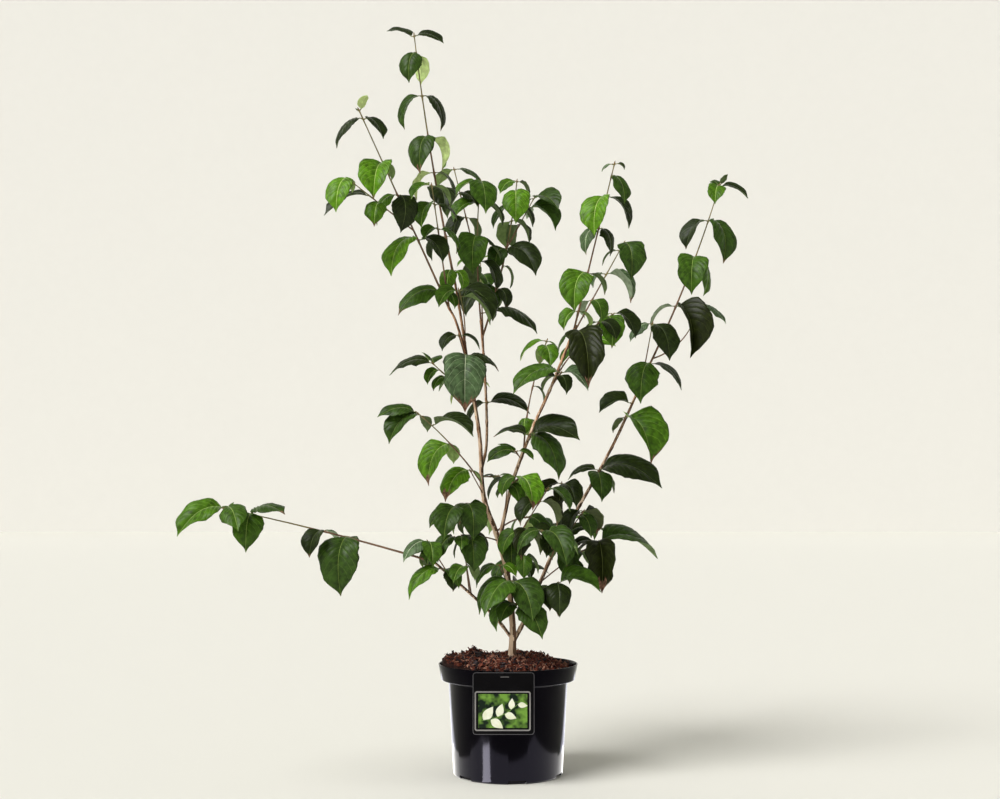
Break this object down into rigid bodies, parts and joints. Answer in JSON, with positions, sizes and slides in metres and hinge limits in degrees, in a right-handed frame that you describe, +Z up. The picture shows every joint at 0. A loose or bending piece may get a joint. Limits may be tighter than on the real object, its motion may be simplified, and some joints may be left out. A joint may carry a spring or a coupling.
{
  "type": "potted kousa dogwood shrub",
  "caption": "Young kousa dogwood with slim stems, drooping pointed leaves and one long low bough, standing in a round black nursery pot with a hanging label.",
  "frame": {"origin": "centre of the pot's flat underside, on the surface it stands on", "axes": "+Z up along the plant, +X to the right as the label is seen, -Y towards the label"},
  "size_m": [0.9619, 0.506, 1.302],
  "materials": {
    "pot": "glossy near-black moulded plastic",
    "compost": "damp dark red-brown bark compost",
    "label": "satin black printed card",
    "bark": "smooth grey-brown young bark",
    "foliage": "satin green leaves, paler underneath"
  },
  "bodies": {
    "root": {"pot": "pot", "compost": "compost", "hang_label": "label", "trunk": "bark", "left_leader": "bark", "centre_leader": "bark", "back_stem": "bark", "right_stem": "bark", "far_right_stem": "bark", "low_left_bough": "bark", "crown_centre": "foliage", "crown_left": "foliage", "crown_back_left": "foliage", "crown_back_right": "foliage", "fork_shoot": "foliage", "crown_right": "foliage", "crown_right_inner": "foliage", "crown_right_side": "foliage", "right_broad_leaves": "foliage", "right_thin_shoot": "foliage", "right_elbow": "foliage", "right_low_broad": "foliage", "right_low_upright": "foliage", "right_low_hanging": "foliage", "far_right_top": "foliage", "far_right_shoot": "foliage", "far_right_broad": "foliage", "far_right_middle": "foliage", "far_right_low": "foliage", "far_right_back": "foliage", "left_twig": "foliage", "left_spur": "foliage", "left_high_twig": "foliage", "fork_broad": "foliage", "back_stem_leaf": "foliage", "trunk_spurs": "foliage", "middle_left": "foliage", "middle_left_low": "foliage", "middle_left_back": "foliage", "middle_right_back": "foliage", "upper_back": "foliage", "right_back": "foliage", "top_back": "foliage", "low_left_upright": "foliage", "low_left_front": "foliage", "low_left_far": "foliage", "front_whorl": "foliage", "front_low_whorl": "foliage", "back_low": "foliage", "inner_right": "foliage", "low_right_back": "foliage", "low_right_front": "foliage"}
  },
  "joints": []
}
